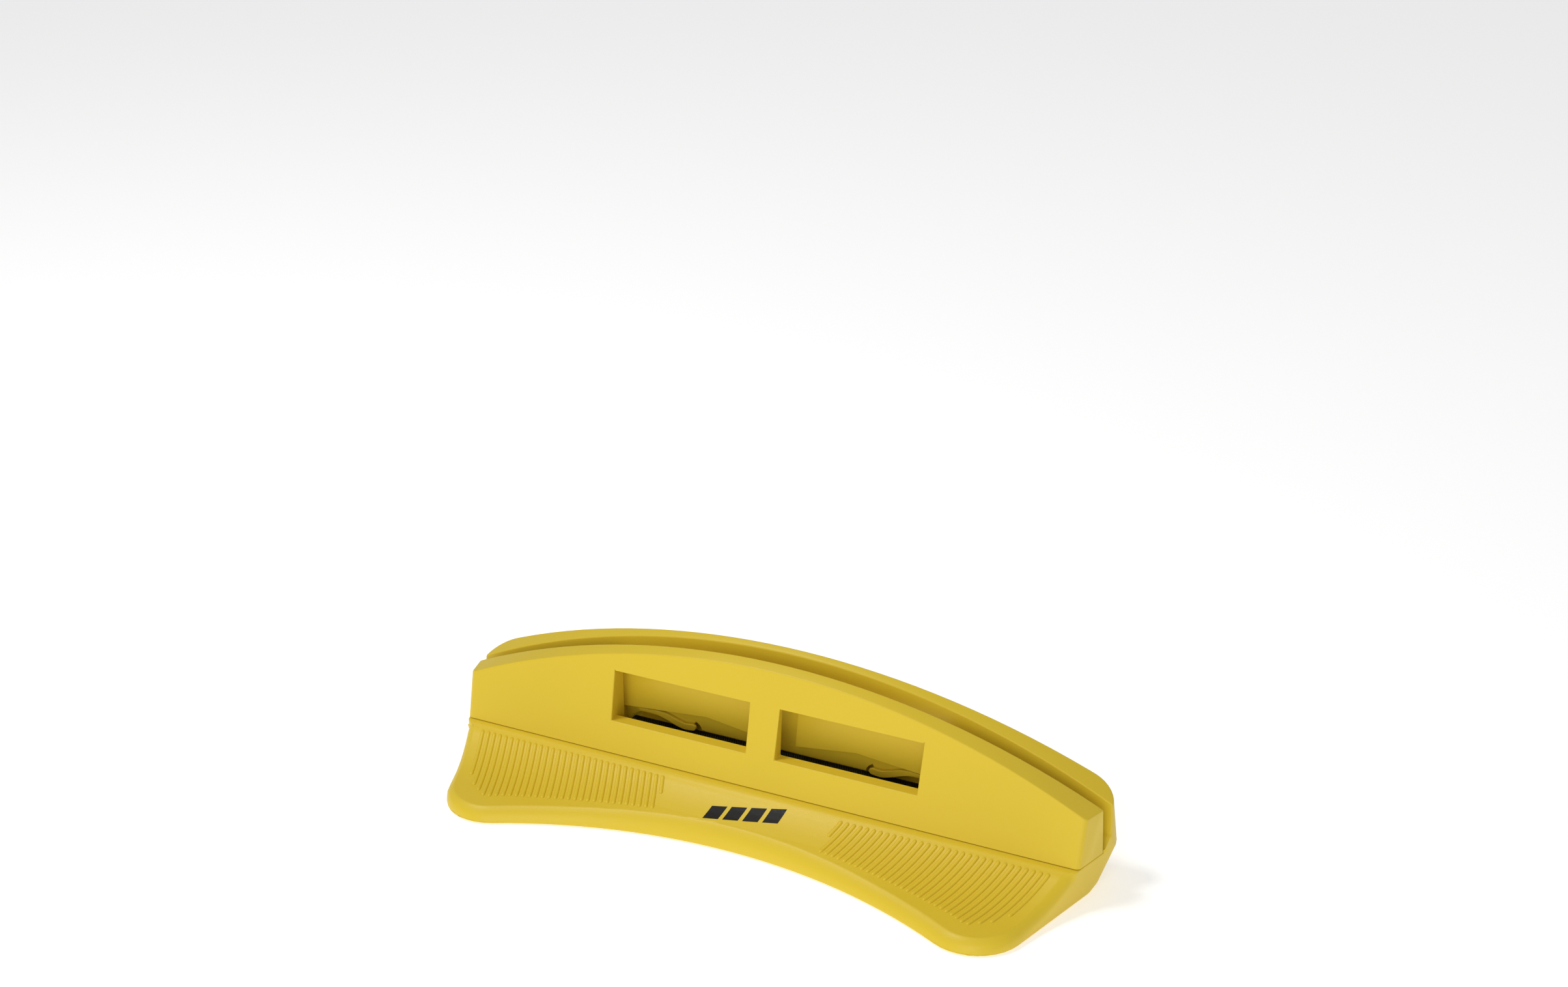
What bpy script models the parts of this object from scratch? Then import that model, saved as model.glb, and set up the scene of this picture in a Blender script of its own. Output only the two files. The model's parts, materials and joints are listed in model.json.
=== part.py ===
"""Wax scraper sharpener: a bench tool that squares the edge of a plastic ski scraper.

A moulded base with a ribbed foot carries a tall rear wall. A front cover stands on it and leaves a
long slot, open at the top and at both ends. A flat file lies across the bottom of the slot, under two
spring fingers, and is seen through two windows in the cover.

Lengths are in millimetres in the tool frame, and become metres in the meshes. The tool frame has x
along the slot, y from front to back from the foot of the cover's front face, and z up from the seam
between base and cover.
"""

import math

import bmesh
import bpy
from mathutils import Vector

MM = 0.001
GAP = 0.3

# Plan of the whole tool. The ends splay outwards towards the back.
HALF_LENGTH = 118.5
END_SPLAY = 0.264
END_DRAFT_BELOW = 0.14
END_DRAFT_ABOVE = -0.045
FRONT_ARC_Y = -19.4
FRONT_ARC_RADIUS = 185.0
FRONT_CORNER_RADIUS = 17.5
REAR_CORNER_RADIUS = 8.5

# Heights of the base and its rear face.
BASE_BOTTOM = -14.2
REAR_KNEE_Z = -1.0
REAR_FACE_Y = 30.0
REAR_FACE_LEAN = -0.121
REAR_BOTTOM_Y = 22.5
REAR_BOTTOM_TUCK = 2.2
REAR_TUCK_Z = -12.3

# Rounded lip round the front and the ends of the foot. It fades out below the cover.
LIP_RADIUS = 4.6
LIP_DRAFT = 0.1
LIP_FULL_Y = -3.5
LIP_GONE_Y = -0.3
END_STATIONS = (-20.0, -15.0, -11.0, -8.0, -5.5, -3.5, -2.6, -1.7, -0.9, -0.3, 0.0)

# Ramp of the foot: a convex shoulder, a concave hollow, then a gentle straight run.
SHOULDER_Y = -3.5
SHOULDER_Z = -0.9
RAMP_START_SLOPE = 33.0
RAMP_END_SLOPE = 3.0
RAMP_RADIUS = 49.4
RAMP_FRONT_Y = -60.0

# Slot, and the arched tops of the two walls beside it: (height of the peak, radius) of each edge.
SLOT_FRONT_Y = 14.1
SLOT_REAR_Y = 18.3
SLOT_FLARE = 0.09
SLOT_FLOOR_Z = 1.1
REAR_WALL_FRONT_TOP = (43.4, 285.0)
REAR_WALL_REAR_TOP = (44.6, 292.0)
COVER_FRONT_TOP = (41.7, 298.0)
COVER_REAR_TOP = (43.4, 287.5)

# Front cover: a wall as thick as the depth of the sill, open behind the windows.
COVER_LEAN = 0.245
COVER_CORNER_RADIUS = 2.2
WINDOW_INNER_X = 5.7
WINDOW_OUTER_X = 59.5
WINDOW_SPLAY = 0.1
WINDOW_SIDE_Y = 5.0
WINDOW_TOP_Z = 29.7
SILL_Z = 11.7
SILL_FALL = 0.04
COVER_WALL_BACK_Y = 7.0
COVER_WALL_BACK_LEAN = 0.075
CAVITY_TOP_Z = 31.0

# File and the space that holds it.
FILE_HALF_LENGTH = 60.5
FILE_FRONT_Y = 7.9
FILE_BACK_Y = 22.4
FILE_TOP_Z = 4.3
TUNNEL_TOP_Z = 5.2
TUNNEL_HALF_LENGTH = 61.0

# Recess behind the slot's two guide faces. Its roof rises over the middle of each window.
RECESS_HALF_LENGTH = 63.2
RECESS_BACK_Y = 21.2
RECESS_TOP_Z = 30.0
ROOF_PEAK_X = 29.3
ROOF_PEAK_Z = 12.1
ROOF_LOW_Z = 9.15
GUIDE_INNER_X = 6.1
OPENING_BACK_Y = 26.5
OPENING_TAPER = 1.5

# Spring fingers: (x, z, half of the thickness) along the right one, from its tip to its root.
FINGER_FRONT_Y = 19.6
FINGER_BACK_Y = 20.9
FINGER_PIVOT = (54.0, 8.7)
FINGER_SPINE = (
    (35.4, 6.2, 1.25),
    (38.8, 5.9, 1.25),
    (42.5, 6.85, 1.25),
    (46.0, 8.1, 1.2),
    (49.5, 8.75, 0.95),
    (53.0, 8.75, 0.7),
    (57.5, 8.6, 0.7),
)

# Screws from below, and the feet.
SCREW_X = (-80.0, -40.0, 40.0, 80.0)
SCREW_Y = 4.7
SCREW_HEAD_RADIUS = 3.2
SCREW_HEAD_HEIGHT = 2.2
SCREW_SEAT_Z = -5.5
SCREW_SHANK_RADIUS = 1.5
SCREW_TIP_Z = 6.5
FOOT_PLACES = ((-90.0, -27.0), (90.0, -27.0), (-106.0, 11.0), (106.0, 11.0))
FOOT_RADIUS = 5.5
FOOT_SEAT_DEPTH = 1.6
FOOT_STANDS_PROUD = 0.5

# Lightening pockets under the base and the cover.
POCKET_PITCH = 20.0
POCKET_WIDTH = 16.5

# Where the tool frame stands in the model: the bench is z = 0 and the tool is centred on the origin.
TOOL_ORIGIN = Vector((0.0, 5.5, FOOT_STANDS_PROUD - BASE_BOTTOM)) * MM


def material(name, colour, roughness, metallic=0.0):
    made = bpy.data.materials.new(name)
    made.use_nodes = True
    shader = made.node_tree.nodes["Principled BSDF"]
    shader.inputs["Base Color"].default_value = (*colour, 1.0)
    shader.inputs["Roughness"].default_value = roughness
    shader.inputs["Metallic"].default_value = metallic
    made.diffuse_color = (*colour, 1.0)
    return made


def clear_scene():
    for obj in list(bpy.data.objects):
        bpy.data.objects.remove(obj, do_unlink=True)


def collection(name):
    made = bpy.data.collections.new(name)
    bpy.context.scene.collection.children.link(made)
    return made


def arc(centre, radius, start, end, steps):
    """Points on an arc, with the angles in radians and both ends included."""
    angles = [start + (end - start) * i / steps for i in range(steps + 1)]
    return [(centre[0] + radius * math.cos(a), centre[1] + radius * math.sin(a)) for a in angles]


def end_x(y, z):
    draft = END_DRAFT_BELOW if z < 0 else END_DRAFT_ABOVE
    return HALF_LENGTH + END_SPLAY * y + draft * z


def end_normal_angle():
    """Direction that the right end faces in plan."""
    return math.atan2(-END_SPLAY, 1.0)


def corner_centre(y_of_centre, radius, z, inset=0.0):
    """Centre of a plan corner that touches the right end from inside."""
    inset = (radius + inset) * math.hypot(1.0, END_SPLAY)
    return end_x(y_of_centre, z) - inset, y_of_centre


def front_corner_centre(z, inset, front_inset):
    """Centre of the foot's front corner, which touches both the end and the hollow front arc."""
    hollow_centre_y = FRONT_ARC_Y - FRONT_ARC_RADIUS
    radius = FRONT_CORNER_RADIUS - inset
    reach = FRONT_ARC_RADIUS + front_inset + radius
    low, high = -60.0, 0.0
    for _ in range(40):
        middle = (low + high) / 2
        x, y = corner_centre(middle, radius, z, inset)
        if math.hypot(x, y - hollow_centre_y) > reach:
            high = middle
        else:
            low = middle
    return corner_centre(low, radius, z, inset)


def mirrored(half):
    """A closed plan ring from its right half, which starts and ends on the middle line."""
    left = [(-p[0], *p[1:]) for p in reversed(half) if p[0] > 1e-6]
    return half + left


def rear_y(z):
    if z >= REAR_KNEE_Z:
        return REAR_FACE_Y + REAR_FACE_LEAN * z
    share = (REAR_KNEE_Z - z) / (REAR_KNEE_Z - BASE_BOTTOM)
    knee_y = REAR_FACE_Y + REAR_FACE_LEAN * REAR_KNEE_Z
    tuck = REAR_BOTTOM_TUCK if z < REAR_TUCK_Z else 0.0
    return knee_y + (REAR_BOTTOM_Y - knee_y) * share - tuck


def ramp_profile():
    """Points (y, z) of the foot's upper surface, from its front to the seam."""
    steep = math.radians(RAMP_START_SLOPE)
    gentle = math.radians(RAMP_END_SLOPE)
    centre = (SHOULDER_Y - RAMP_RADIUS * math.sin(steep), SHOULDER_Z + RAMP_RADIUS * math.cos(steep))
    hollow = arc(centre, RAMP_RADIUS, steep - math.pi / 2, gentle - math.pi / 2, 8)
    end_y, end_z = hollow[-1]
    front = (RAMP_FRONT_Y, end_z + (RAMP_FRONT_Y - end_y) * math.tan(gentle))
    shoulder = [(SHOULDER_Y * 0.55, SHOULDER_Z * 0.28), (0.0, 0.0)]
    return [front] + list(reversed(hollow)) + shoulder


def ramp_z(y):
    profile = ramp_profile()
    for (y0, z0), (y1, z1) in zip(profile, profile[1:]):
        if y < y1:
            return z0 + (z1 - z0) * (y - y0) / (y1 - y0)
    return profile[-1][1]


def base_ring(inset, drop, front_z, rear_z):
    """One ring of the base. The foot's part lies `drop` below the ramp, or at front_z where that is given."""

    def foot_z(y):
        return ramp_z(y) - drop if front_z is None else front_z

    corner_z = foot_z(FRONT_ARC_Y * 1.8)
    front_inset = inset + LIP_DRAFT * (min(corner_z, 0.0) - BASE_BOTTOM)
    hollow_centre = (0.0, FRONT_ARC_Y - FRONT_ARC_RADIUS)
    front = front_corner_centre(min(corner_z, 0.0), inset, front_inset)
    join = math.atan2(front[1] - hollow_centre[1], front[0])
    plan = arc(hollow_centre, FRONT_ARC_RADIUS + front_inset, math.pi / 2, join, 14)
    plan += arc(front, FRONT_CORNER_RADIUS - inset, join - math.pi, end_normal_angle(), 10)[1:]
    half = [(x, y, foot_z(y)) for x, y in plan]
    for y in END_STATIONS:
        share = min(max((LIP_GONE_Y - y) / (LIP_GONE_Y - LIP_FULL_Y), 0.0), 1.0)
        share = share * share * (3 - 2 * share)
        z = rear_z + (foot_z(y) - rear_z) * share
        half.append((end_x(y, z) - inset * share * math.hypot(1.0, END_SPLAY), y, z))
    rear = corner_centre(rear_y(rear_z) - REAR_CORNER_RADIUS, REAR_CORNER_RADIUS, rear_z)
    half += [(x, y, rear_z) for x, y in arc(rear, REAR_CORNER_RADIUS, end_normal_angle(), math.pi / 2, 9)]
    half.append((0.0, rear_y(rear_z), rear_z))
    return [Vector(p) for p in mirrored(half)]


def base_rings():
    """Bottom, rear tuck, four rings round the lip, its run-out above the ramp, and a top far above the tool."""
    rings = [base_ring(0.0, 0.0, BASE_BOTTOM, BASE_BOTTOM), base_ring(0.0, 0.0, BASE_BOTTOM + 0.3, REAR_TUCK_Z)]
    for turn, rear_z in ((0.0, -6.0), (22.5, -4.0), (45.0, -2.5), (67.5, REAR_KNEE_Z)):
        a = math.radians(turn)
        rings.append(base_ring(LIP_RADIUS * (1 - math.cos(a)), LIP_RADIUS * (1 - math.sin(a)), None, rear_z))
    rings.append(base_ring(LIP_RADIUS, -0.083 * LIP_RADIUS, None, 0.0))
    rings.append(base_ring(LIP_RADIUS, 0.0, 60.0, 60.0))
    return rings


def cover_ring(z):
    front_y = COVER_LEAN * z
    radius = min(COVER_CORNER_RADIUS, 0.8 * (SLOT_FRONT_Y - front_y))
    centre = corner_centre(front_y + radius, radius, z)
    half = [(0.0, front_y)]
    half += arc(centre, radius, -math.pi / 2, end_normal_angle(), 6)
    half += [(end_x(SLOT_FRONT_Y, z), SLOT_FRONT_Y), (0.0, SLOT_FRONT_Y)]
    return [Vector((x, y, z)) for x, y in mirrored(half)]


def arched(x, top):
    """Height at x of an arched edge."""
    peak, radius = top
    return peak - radius + math.sqrt(radius**2 - x**2)


def to_object(name, mesh_points, faces, group):
    mesh = bpy.data.meshes.new(name)
    mesh.from_pydata([Vector(p) * MM for p in mesh_points], [], faces)
    mesh.update()
    obj = bpy.data.objects.new(name, mesh)
    group.objects.link(obj)
    recalculate(obj)
    return obj


def recalculate(obj):
    bm = bmesh.new()
    bm.from_mesh(obj.data)
    bmesh.ops.recalc_face_normals(bm, faces=bm.faces)
    bm.to_mesh(obj.data)
    bm.free()


def loft(name, rings, group):
    """A closed solid through rings of the same number of points."""
    count = len(rings[0])
    faces = [list(range(count))[::-1], [len(rings) * count - count + i for i in range(count)]]
    for level in range(len(rings) - 1):
        here, above = level * count, (level + 1) * count
        for i in range(count):
            j = (i + 1) % count
            faces.append([here + i, here + j, above + j, above + i])
    return to_object(name, [p for ring in rings for p in ring], faces, group)


def prism_y(name, outline_xz, front, back, group):
    """A flat outline in x and z, carried from one y to another."""
    rings = [[(x, y, z) for x, z in outline_xz] for y in (front, back)]
    return loft(name, rings, group)


def section_along_x(name, section, group, half_length=140.0, steps=40):
    """A solid whose y-z section changes with x."""
    stations = [-half_length + 2 * half_length * i / steps for i in range(steps + 1)]
    return loft(name, [[(x, y, z) for y, z in section(x)] for x in stations], group)


def box(name, low, high, group):
    bpy.ops.mesh.primitive_cube_add(size=1.0)
    obj = bpy.context.object
    obj.name = name
    size = [(b - a) * MM for a, b in zip(low, high)]
    middle = [(a + b) / 2 * MM for a, b in zip(low, high)]
    for vertex in obj.data.vertices:
        vertex.co = Vector(m + c * s for m, c, s in zip(middle, vertex.co, size))
    relink(obj, group)
    return obj


def cylinder(name, x, y, low, high, radius, group, sides=24):
    bpy.ops.mesh.primitive_cylinder_add(vertices=sides, radius=radius * MM, depth=(high - low) * MM)
    obj = bpy.context.object
    obj.name = name
    place = Vector((x, y, (low + high) / 2)) * MM
    for vertex in obj.data.vertices:
        vertex.co += place
    relink(obj, group)
    return obj


def relink(obj, group):
    for old in list(obj.users_collection):
        old.objects.unlink(obj)
    group.objects.link(obj)


def cut(obj, cutter, operation="DIFFERENCE"):
    modifier = obj.modifiers.new(cutter.name, "BOOLEAN")
    modifier.operation = operation
    modifier.solver = "EXACT"
    modifier.object = cutter
    cutter.hide_render = True
    cutter.display_type = "WIRE"


def settle(obj):
    """Replaces the object's mesh with its evaluated one, flat faces merged, so that later cuts are clean."""
    graph = bpy.context.evaluated_depsgraph_get()
    mesh = bpy.data.meshes.new_from_object(obj.evaluated_get(graph))
    obj.modifiers.clear()
    bm = bmesh.new()
    bm.from_mesh(mesh)
    bmesh.ops.remove_doubles(bm, verts=bm.verts, dist=0.002 * MM)
    bmesh.ops.dissolve_limit(bm, angle_limit=math.radians(0.05), verts=bm.verts, edges=bm.edges)
    bm.to_mesh(mesh)
    bm.free()
    obj.data = mesh


def base_section(x):
    front_top, rear_top = arched(x, REAR_WALL_FRONT_TOP), arched(x, REAR_WALL_REAR_TOP)
    front_top_y, rear_top_y = SLOT_REAR_Y + SLOT_FLARE * front_top, rear_y(rear_top)
    slope = (rear_top - front_top) / (rear_top_y - front_top_y)
    back, past = 50.0, 0.6
    floor_end_y = SLOT_REAR_Y + SLOT_FLARE * (SLOT_FLOOR_Z + 3.6)
    return (
        [(RAMP_FRONT_Y, -40.0)]
        + ramp_profile()
        + [
            (SLOT_FRONT_Y + GAP, 0.0),
            (SLOT_FRONT_Y + GAP, SLOT_FLOOR_Z),
            (floor_end_y - 3.6, SLOT_FLOOR_Z),
            (floor_end_y, SLOT_FLOOR_Z + 3.6),
            (front_top_y, front_top),
            (rear_top_y + past, rear_top + slope * past),
            (back, rear_top + slope * past),
            (back, -40.0),
        ]
    )


def recess_outline():
    """The recess behind the guide faces, which also runs up between them in the middle."""
    e, p, g = RECESS_HALF_LENGTH, ROOF_PEAK_X, GUIDE_INNER_X
    half = [(g + 0.8, RECESS_TOP_Z), (g, ROOF_LOW_Z), (p, ROOF_PEAK_Z), (e, ROOF_LOW_Z), (e, 0.0)]
    return half + [(-x, z) for x, z in reversed(half)]


def finger_opening(side, taper=0.0):
    """The opening under a finger in the recess's back wall. It ends in a curved slit round the finger's tip."""
    slit = [(32.6, 3.5), (32.6, 5.3), (33.0, 6.3), (33.8, 7.3), (35.2, 8.3)]
    behind = [(35.7, 7.2), (36.6, 6.3), (39.0, 5.9), (43.0, 6.7), (46.0, 7.4), (50.0, 7.6), (55.0, 7.4)]
    outer = [(58.0, 6.8), (59.6, 6.0), (60.3, 5.0), (60.5, 3.5)]
    return [(side * (x - taper), z) for x, z in slit + behind + outer]


def make_base(parts, cutters, plastic):
    base = loft("base_body", base_rings(), parts)
    cut(base, section_along_x("base_section_tool", base_section, cutters), "INTERSECT")
    settle(base)
    base.data.materials.append(plastic)

    e = TUNNEL_HALF_LENGTH
    tunnel = box("file_tunnel_tool", (-e, SLOT_FRONT_Y - 6, 0.0), (e, FILE_BACK_Y + GAP, TUNNEL_TOP_Z), cutters)
    cut(base, tunnel)
    cut(base, prism_y("recess_tool", recess_outline(), SLOT_FRONT_Y, RECESS_BACK_Y, cutters))
    for side, name in ((-1, "left"), (1, "right")):
        front = [(x, RECESS_BACK_Y - 1, z) for x, z in finger_opening(side)]
        back = [(x, OPENING_BACK_Y, z) for x, z in finger_opening(side, OPENING_TAPER)]
        cut(base, loft(f"opening_tool_{name}", [front, back], cutters))

    for i, x in enumerate(SCREW_X):
        cut(base, cylinder(f"screw_bore_tool_{i}", x, SCREW_Y, -20.0, 5.0, SCREW_SHANK_RADIUS + GAP, cutters))
        seat = SCREW_HEAD_RADIUS + 0.5
        cut(base, cylinder(f"screw_seat_tool_{i}", x, SCREW_Y, -20.0, SCREW_SEAT_Z, seat, cutters))
    for i, (x, y) in enumerate(FOOT_PLACES):
        top = BASE_BOTTOM + FOOT_SEAT_DEPTH
        cut(base, cylinder(f"foot_seat_tool_{i}", x, y, -20.0, top, FOOT_RADIUS + GAP, cutters))
    for step in range(-4, 5):
        x = step * POCKET_PITCH
        low, high = x - POCKET_WIDTH / 2, x + POCKET_WIDTH / 2
        cut(base, box(f"ramp_pocket_tool_{step + 4}", (low, -12.0, -20.0), (high, -1.5, -8.0), cutters))
    return base


def window_ring(side, y):
    outer = WINDOW_OUTER_X + WINDOW_SPLAY * (y - WINDOW_SIDE_Y)
    inner, sill = WINDOW_INNER_X, SILL_Z - SILL_FALL * y
    ring = [(inner, y, sill), (outer, y, sill), (outer, y, WINDOW_TOP_Z), (inner, y, WINDOW_TOP_Z)]
    return [(side * x, y, z) for x, y, z in ring]


def cavity_ring(z):
    """Plan of the open space behind the cover's wall. Its ends carry on the outer sides of the windows."""
    front, back = COVER_WALL_BACK_Y + COVER_WALL_BACK_LEAN * z, SLOT_FRONT_Y + 3
    near, far = (WINDOW_OUTER_X + WINDOW_SPLAY * (y - WINDOW_SIDE_Y) for y in (front, back))
    return [(-near, front, z), (near, front, z), (far, back, z), (-far, back, z)]


def cover_section(x):
    front_top, rear_top = arched(x, COVER_FRONT_TOP), arched(x, COVER_REAR_TOP)
    front_y = COVER_LEAN * front_top
    slope = (rear_top - front_top) / (SLOT_FRONT_Y - front_y)
    near, far, past = -30.0, SLOT_FRONT_Y + 20.0, 0.6
    low, high = front_top - slope * past, rear_top + slope * past
    return [
        (near, -40.0),
        (far, -40.0),
        (far, high),
        (SLOT_FRONT_Y + past, high),
        (front_y - past, low),
        (near, low),
    ]


def make_cover(parts, cutters, plastic):
    cover = loft("front_cover", [cover_ring(z) for z in (GAP, 25.0, 50.0)], parts)
    cut(cover, section_along_x("cover_section_tool", cover_section, cutters), "INTERSECT")
    settle(cover)
    cover.data.materials.append(plastic)
    for side, name in ((-1, "left"), (1, "right")):
        cut(cover, loft(f"window_tool_{name}", [window_ring(side, y) for y in (-5.0, 20.0)], cutters))
    cut(cover, loft("cavity_tool", [cavity_ring(z) for z in (-1.0, CAVITY_TOP_Z)], cutters))
    e, top = TUNNEL_HALF_LENGTH, FILE_TOP_Z + GAP
    cut(cover, box("cover_file_tool", (-e, FILE_FRONT_Y - GAP, -1.0), (e, SLOT_FRONT_Y + 2, top), cutters))
    for i, x in enumerate(SCREW_X):
        top = SCREW_TIP_Z + 0.5
        cut(cover, cylinder(f"cover_bore_tool_{i}", x, SCREW_Y, -1.0, top, SCREW_SHANK_RADIUS + GAP, cutters))
    for side in (-1, 1):
        for place, depth in ((70.0, 18.0), (90.5, 16.0), (105.5, 12.0)):
            low, high = sorted((side * (place - 5.5), side * (place + 5.5)))
            name = f"cover_pocket_tool_{round(low)}"
            cut(cover, box(name, (low, 4.5 + COVER_LEAN * 9, -1.0), (high, SLOT_FRONT_Y - 2.5, depth), cutters))
    return cover


def make_file(parts, steel):
    size_x, size_y = 2 * FILE_HALF_LENGTH, FILE_BACK_Y - FILE_FRONT_Y
    low = (-size_x / 2, FILE_FRONT_Y, GAP)
    high = (size_x / 2, FILE_FRONT_Y + size_y, FILE_TOP_Z)
    blank = box("sharpening_file", low, high, parts)
    bevel = blank.modifiers.new("arris", "BEVEL")
    bevel.width = 0.35 * MM
    bevel.segments = 2
    blank.data.materials.append(steel)
    return blank


def smooth_path(points, steps):
    """A Catmull-Rom curve through the points, which may have any number of coordinates."""
    ends = [points[0]] + list(points) + [points[-1]]
    path = []
    for span in zip(ends, ends[1:], ends[2:], ends[3:]):
        for i in range(steps):
            t = i / steps
            weights = (-t + 2 * t**2 - t**3, 2 - 5 * t**2 + 3 * t**3, t + 4 * t**2 - 3 * t**3, t**3 - t**2)
            path.append(tuple(0.5 * sum(w * v for w, v in zip(weights, values)) for values in zip(*span)))
    path.append(tuple(points[-1]))
    return path


def finger_outline(side):
    path = smooth_path(FINGER_SPINE, 5)
    upper, lower = [], []
    for i, (x, z, half) in enumerate(path):
        before, after = path[max(i - 1, 0)], path[min(i + 1, len(path) - 1)]
        along = Vector((after[0] - before[0], after[1] - before[1])).normalized()
        upper.append((x - along.y * half, z + along.x * half))
        lower.append((x + along.y * half, z - along.x * half))
    tip_x, tip_z, half = path[0]
    nose = arc((tip_x, tip_z), half, math.radians(255), math.radians(110), 5)[1:-1]
    return [(side * x, z) for x, z in upper[::-1] + nose[::-1] + lower]


def make_finger(name, side, parts, plastic):
    finger = prism_y(name, finger_outline(side), FINGER_FRONT_Y, FINGER_BACK_Y, parts)
    finger.data.materials.append(plastic)
    pivot_x, pivot_z = FINGER_PIVOT
    pivot = Vector((side * pivot_x, (FINGER_FRONT_Y + FINGER_BACK_Y) / 2, pivot_z)) * MM
    for vertex in finger.data.vertices:
        vertex.co -= pivot
    finger.location = pivot
    return finger


def make_screw(index, x, parts, cutters, steel):
    head_top = SCREW_SEAT_Z - GAP
    name = f"cover_screw_{index}"
    profile = [
        (0.0, SCREW_TIP_Z),
        (0.5, SCREW_TIP_Z),
        (SCREW_SHANK_RADIUS, SCREW_TIP_Z - 1.8),
        (SCREW_SHANK_RADIUS, head_top),
        (SCREW_HEAD_RADIUS, head_top),
        (SCREW_HEAD_RADIUS, head_top - SCREW_HEAD_HEIGHT * 0.7),
        (SCREW_HEAD_RADIUS * 0.8, head_top - SCREW_HEAD_HEIGHT),
        (0.0, head_top - SCREW_HEAD_HEIGHT),
    ]
    mesh = bpy.data.meshes.new(name)
    edges = [(i, i + 1) for i in range(len(profile) - 1)]
    mesh.from_pydata([(r * MM, 0.0, z * MM) for r, z in profile], edges, [])
    screw = bpy.data.objects.new(name, mesh)
    parts.objects.link(screw)
    turn = screw.modifiers.new("turn", "SCREW")
    turn.steps = turn.render_steps = 24
    turn.use_merge_vertices = True
    turn.merge_threshold = 0.0001
    turn.use_normal_calculate = True
    screw.location = Vector((x, SCREW_Y, 0.0)) * MM
    mesh.materials.append(steel)
    low = head_top - SCREW_HEAD_HEIGHT - 1
    for turned, size in enumerate(((1.9, 0.45), (0.45, 1.9))):
        a, b = size
        slot = box(f"drive_tool_{index}_{turned}", (x - a, SCREW_Y - b, low), (x + a, SCREW_Y + b, low + 2.2), cutters)
        cut(screw, slot)
    return screw


def make_foot(index, x, y, parts, rubber):
    top = BASE_BOTTOM + FOOT_SEAT_DEPTH - GAP
    foot = cylinder(f"rubber_foot_{index}", x, y, BASE_BOTTOM - FOOT_STANDS_PROUD, top, FOOT_RADIUS, parts, 32)
    bevel = foot.modifiers.new("edge", "BEVEL")
    bevel.width = 0.3 * MM
    bevel.segments = 1
    bevel.limit_method = "ANGLE"
    foot.data.materials.append(rubber)
    return foot


def main():
    clear_scene()
    parts = collection("wax_scraper_sharpener")
    cutters = collection("cutters")
    plastic = material("yellow moulded plastic", (0.74, 0.53, 0.045), 0.42)
    file_steel = material("blackened file steel", (0.02, 0.021, 0.024), 0.45, 0.6)
    screw_steel = material("zinc plated steel", (0.62, 0.62, 0.6), 0.3, 1.0)
    rubber = material("black rubber", (0.02, 0.02, 0.02), 0.8)

    made = [make_base(parts, cutters, plastic), make_cover(parts, cutters, plastic), make_file(parts, file_steel)]
    made.append(make_finger("file_finger_left", -1, parts, plastic))
    made.append(make_finger("file_finger_right", 1, parts, plastic))
    made += [make_screw(i + 1, x, parts, cutters, screw_steel) for i, x in enumerate(SCREW_X)]
    made += [make_foot(i + 1, x, y, parts, rubber) for i, (x, y) in enumerate(FOOT_PLACES)]

    frame = bpy.data.objects.new("tool_frame", None)
    parts.objects.link(frame)
    frame.location = TOOL_ORIGIN
    for obj in made + list(cutters.objects):
        obj.parent = frame


main()
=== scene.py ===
"""Looks of a bench sharpener for plastic ski scrapers.

Each operator makes one piece, or one group of like pieces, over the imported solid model: moulded
halves with softened edges, grip ribs, a toothed file, spring fingers, screws and rubber feet.
"""

import json
import math

import bmesh
import bpy
from bpy.props import FloatProperty, FloatVectorProperty, IntProperty, PointerProperty
from mathutils import Matrix, Vector
from mathutils.bvhtree import BVHTree

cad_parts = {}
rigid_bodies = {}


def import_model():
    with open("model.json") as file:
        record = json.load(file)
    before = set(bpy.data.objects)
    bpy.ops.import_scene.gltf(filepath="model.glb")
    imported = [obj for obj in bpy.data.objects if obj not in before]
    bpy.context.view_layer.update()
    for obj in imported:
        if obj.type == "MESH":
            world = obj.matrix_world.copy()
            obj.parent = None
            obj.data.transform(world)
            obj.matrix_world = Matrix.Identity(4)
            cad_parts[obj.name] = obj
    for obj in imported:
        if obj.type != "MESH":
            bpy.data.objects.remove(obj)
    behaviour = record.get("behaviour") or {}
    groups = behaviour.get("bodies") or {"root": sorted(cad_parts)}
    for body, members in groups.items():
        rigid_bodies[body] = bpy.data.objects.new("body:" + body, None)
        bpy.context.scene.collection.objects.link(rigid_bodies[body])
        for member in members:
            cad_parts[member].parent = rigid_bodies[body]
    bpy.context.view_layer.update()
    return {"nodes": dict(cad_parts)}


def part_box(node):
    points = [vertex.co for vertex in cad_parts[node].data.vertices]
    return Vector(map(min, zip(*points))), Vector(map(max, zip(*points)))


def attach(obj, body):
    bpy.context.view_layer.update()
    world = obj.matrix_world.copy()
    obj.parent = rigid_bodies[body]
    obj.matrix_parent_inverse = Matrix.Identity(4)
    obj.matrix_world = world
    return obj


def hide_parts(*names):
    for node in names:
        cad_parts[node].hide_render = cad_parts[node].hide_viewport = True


bl_info = {
    "name": "Ski scraper sharpener",
    "version": (1, 0, 0),
    "blender": (4, 5, 0),
    "location": "View3D > Sidebar > Sharpener",
    "description": "Builds the looks of a bench sharpener for plastic ski scrapers",
    "category": "Object",
}

for startup_object in list(bpy.data.objects):
    bpy.data.objects.remove(startup_object)

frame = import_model()

MM = 0.001

# The point that the sizes below start from: on the middle line, where the cover meets the ramp.
SEAM_POINT = Vector((0.0, 5.5, 14.7)) * MM

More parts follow.
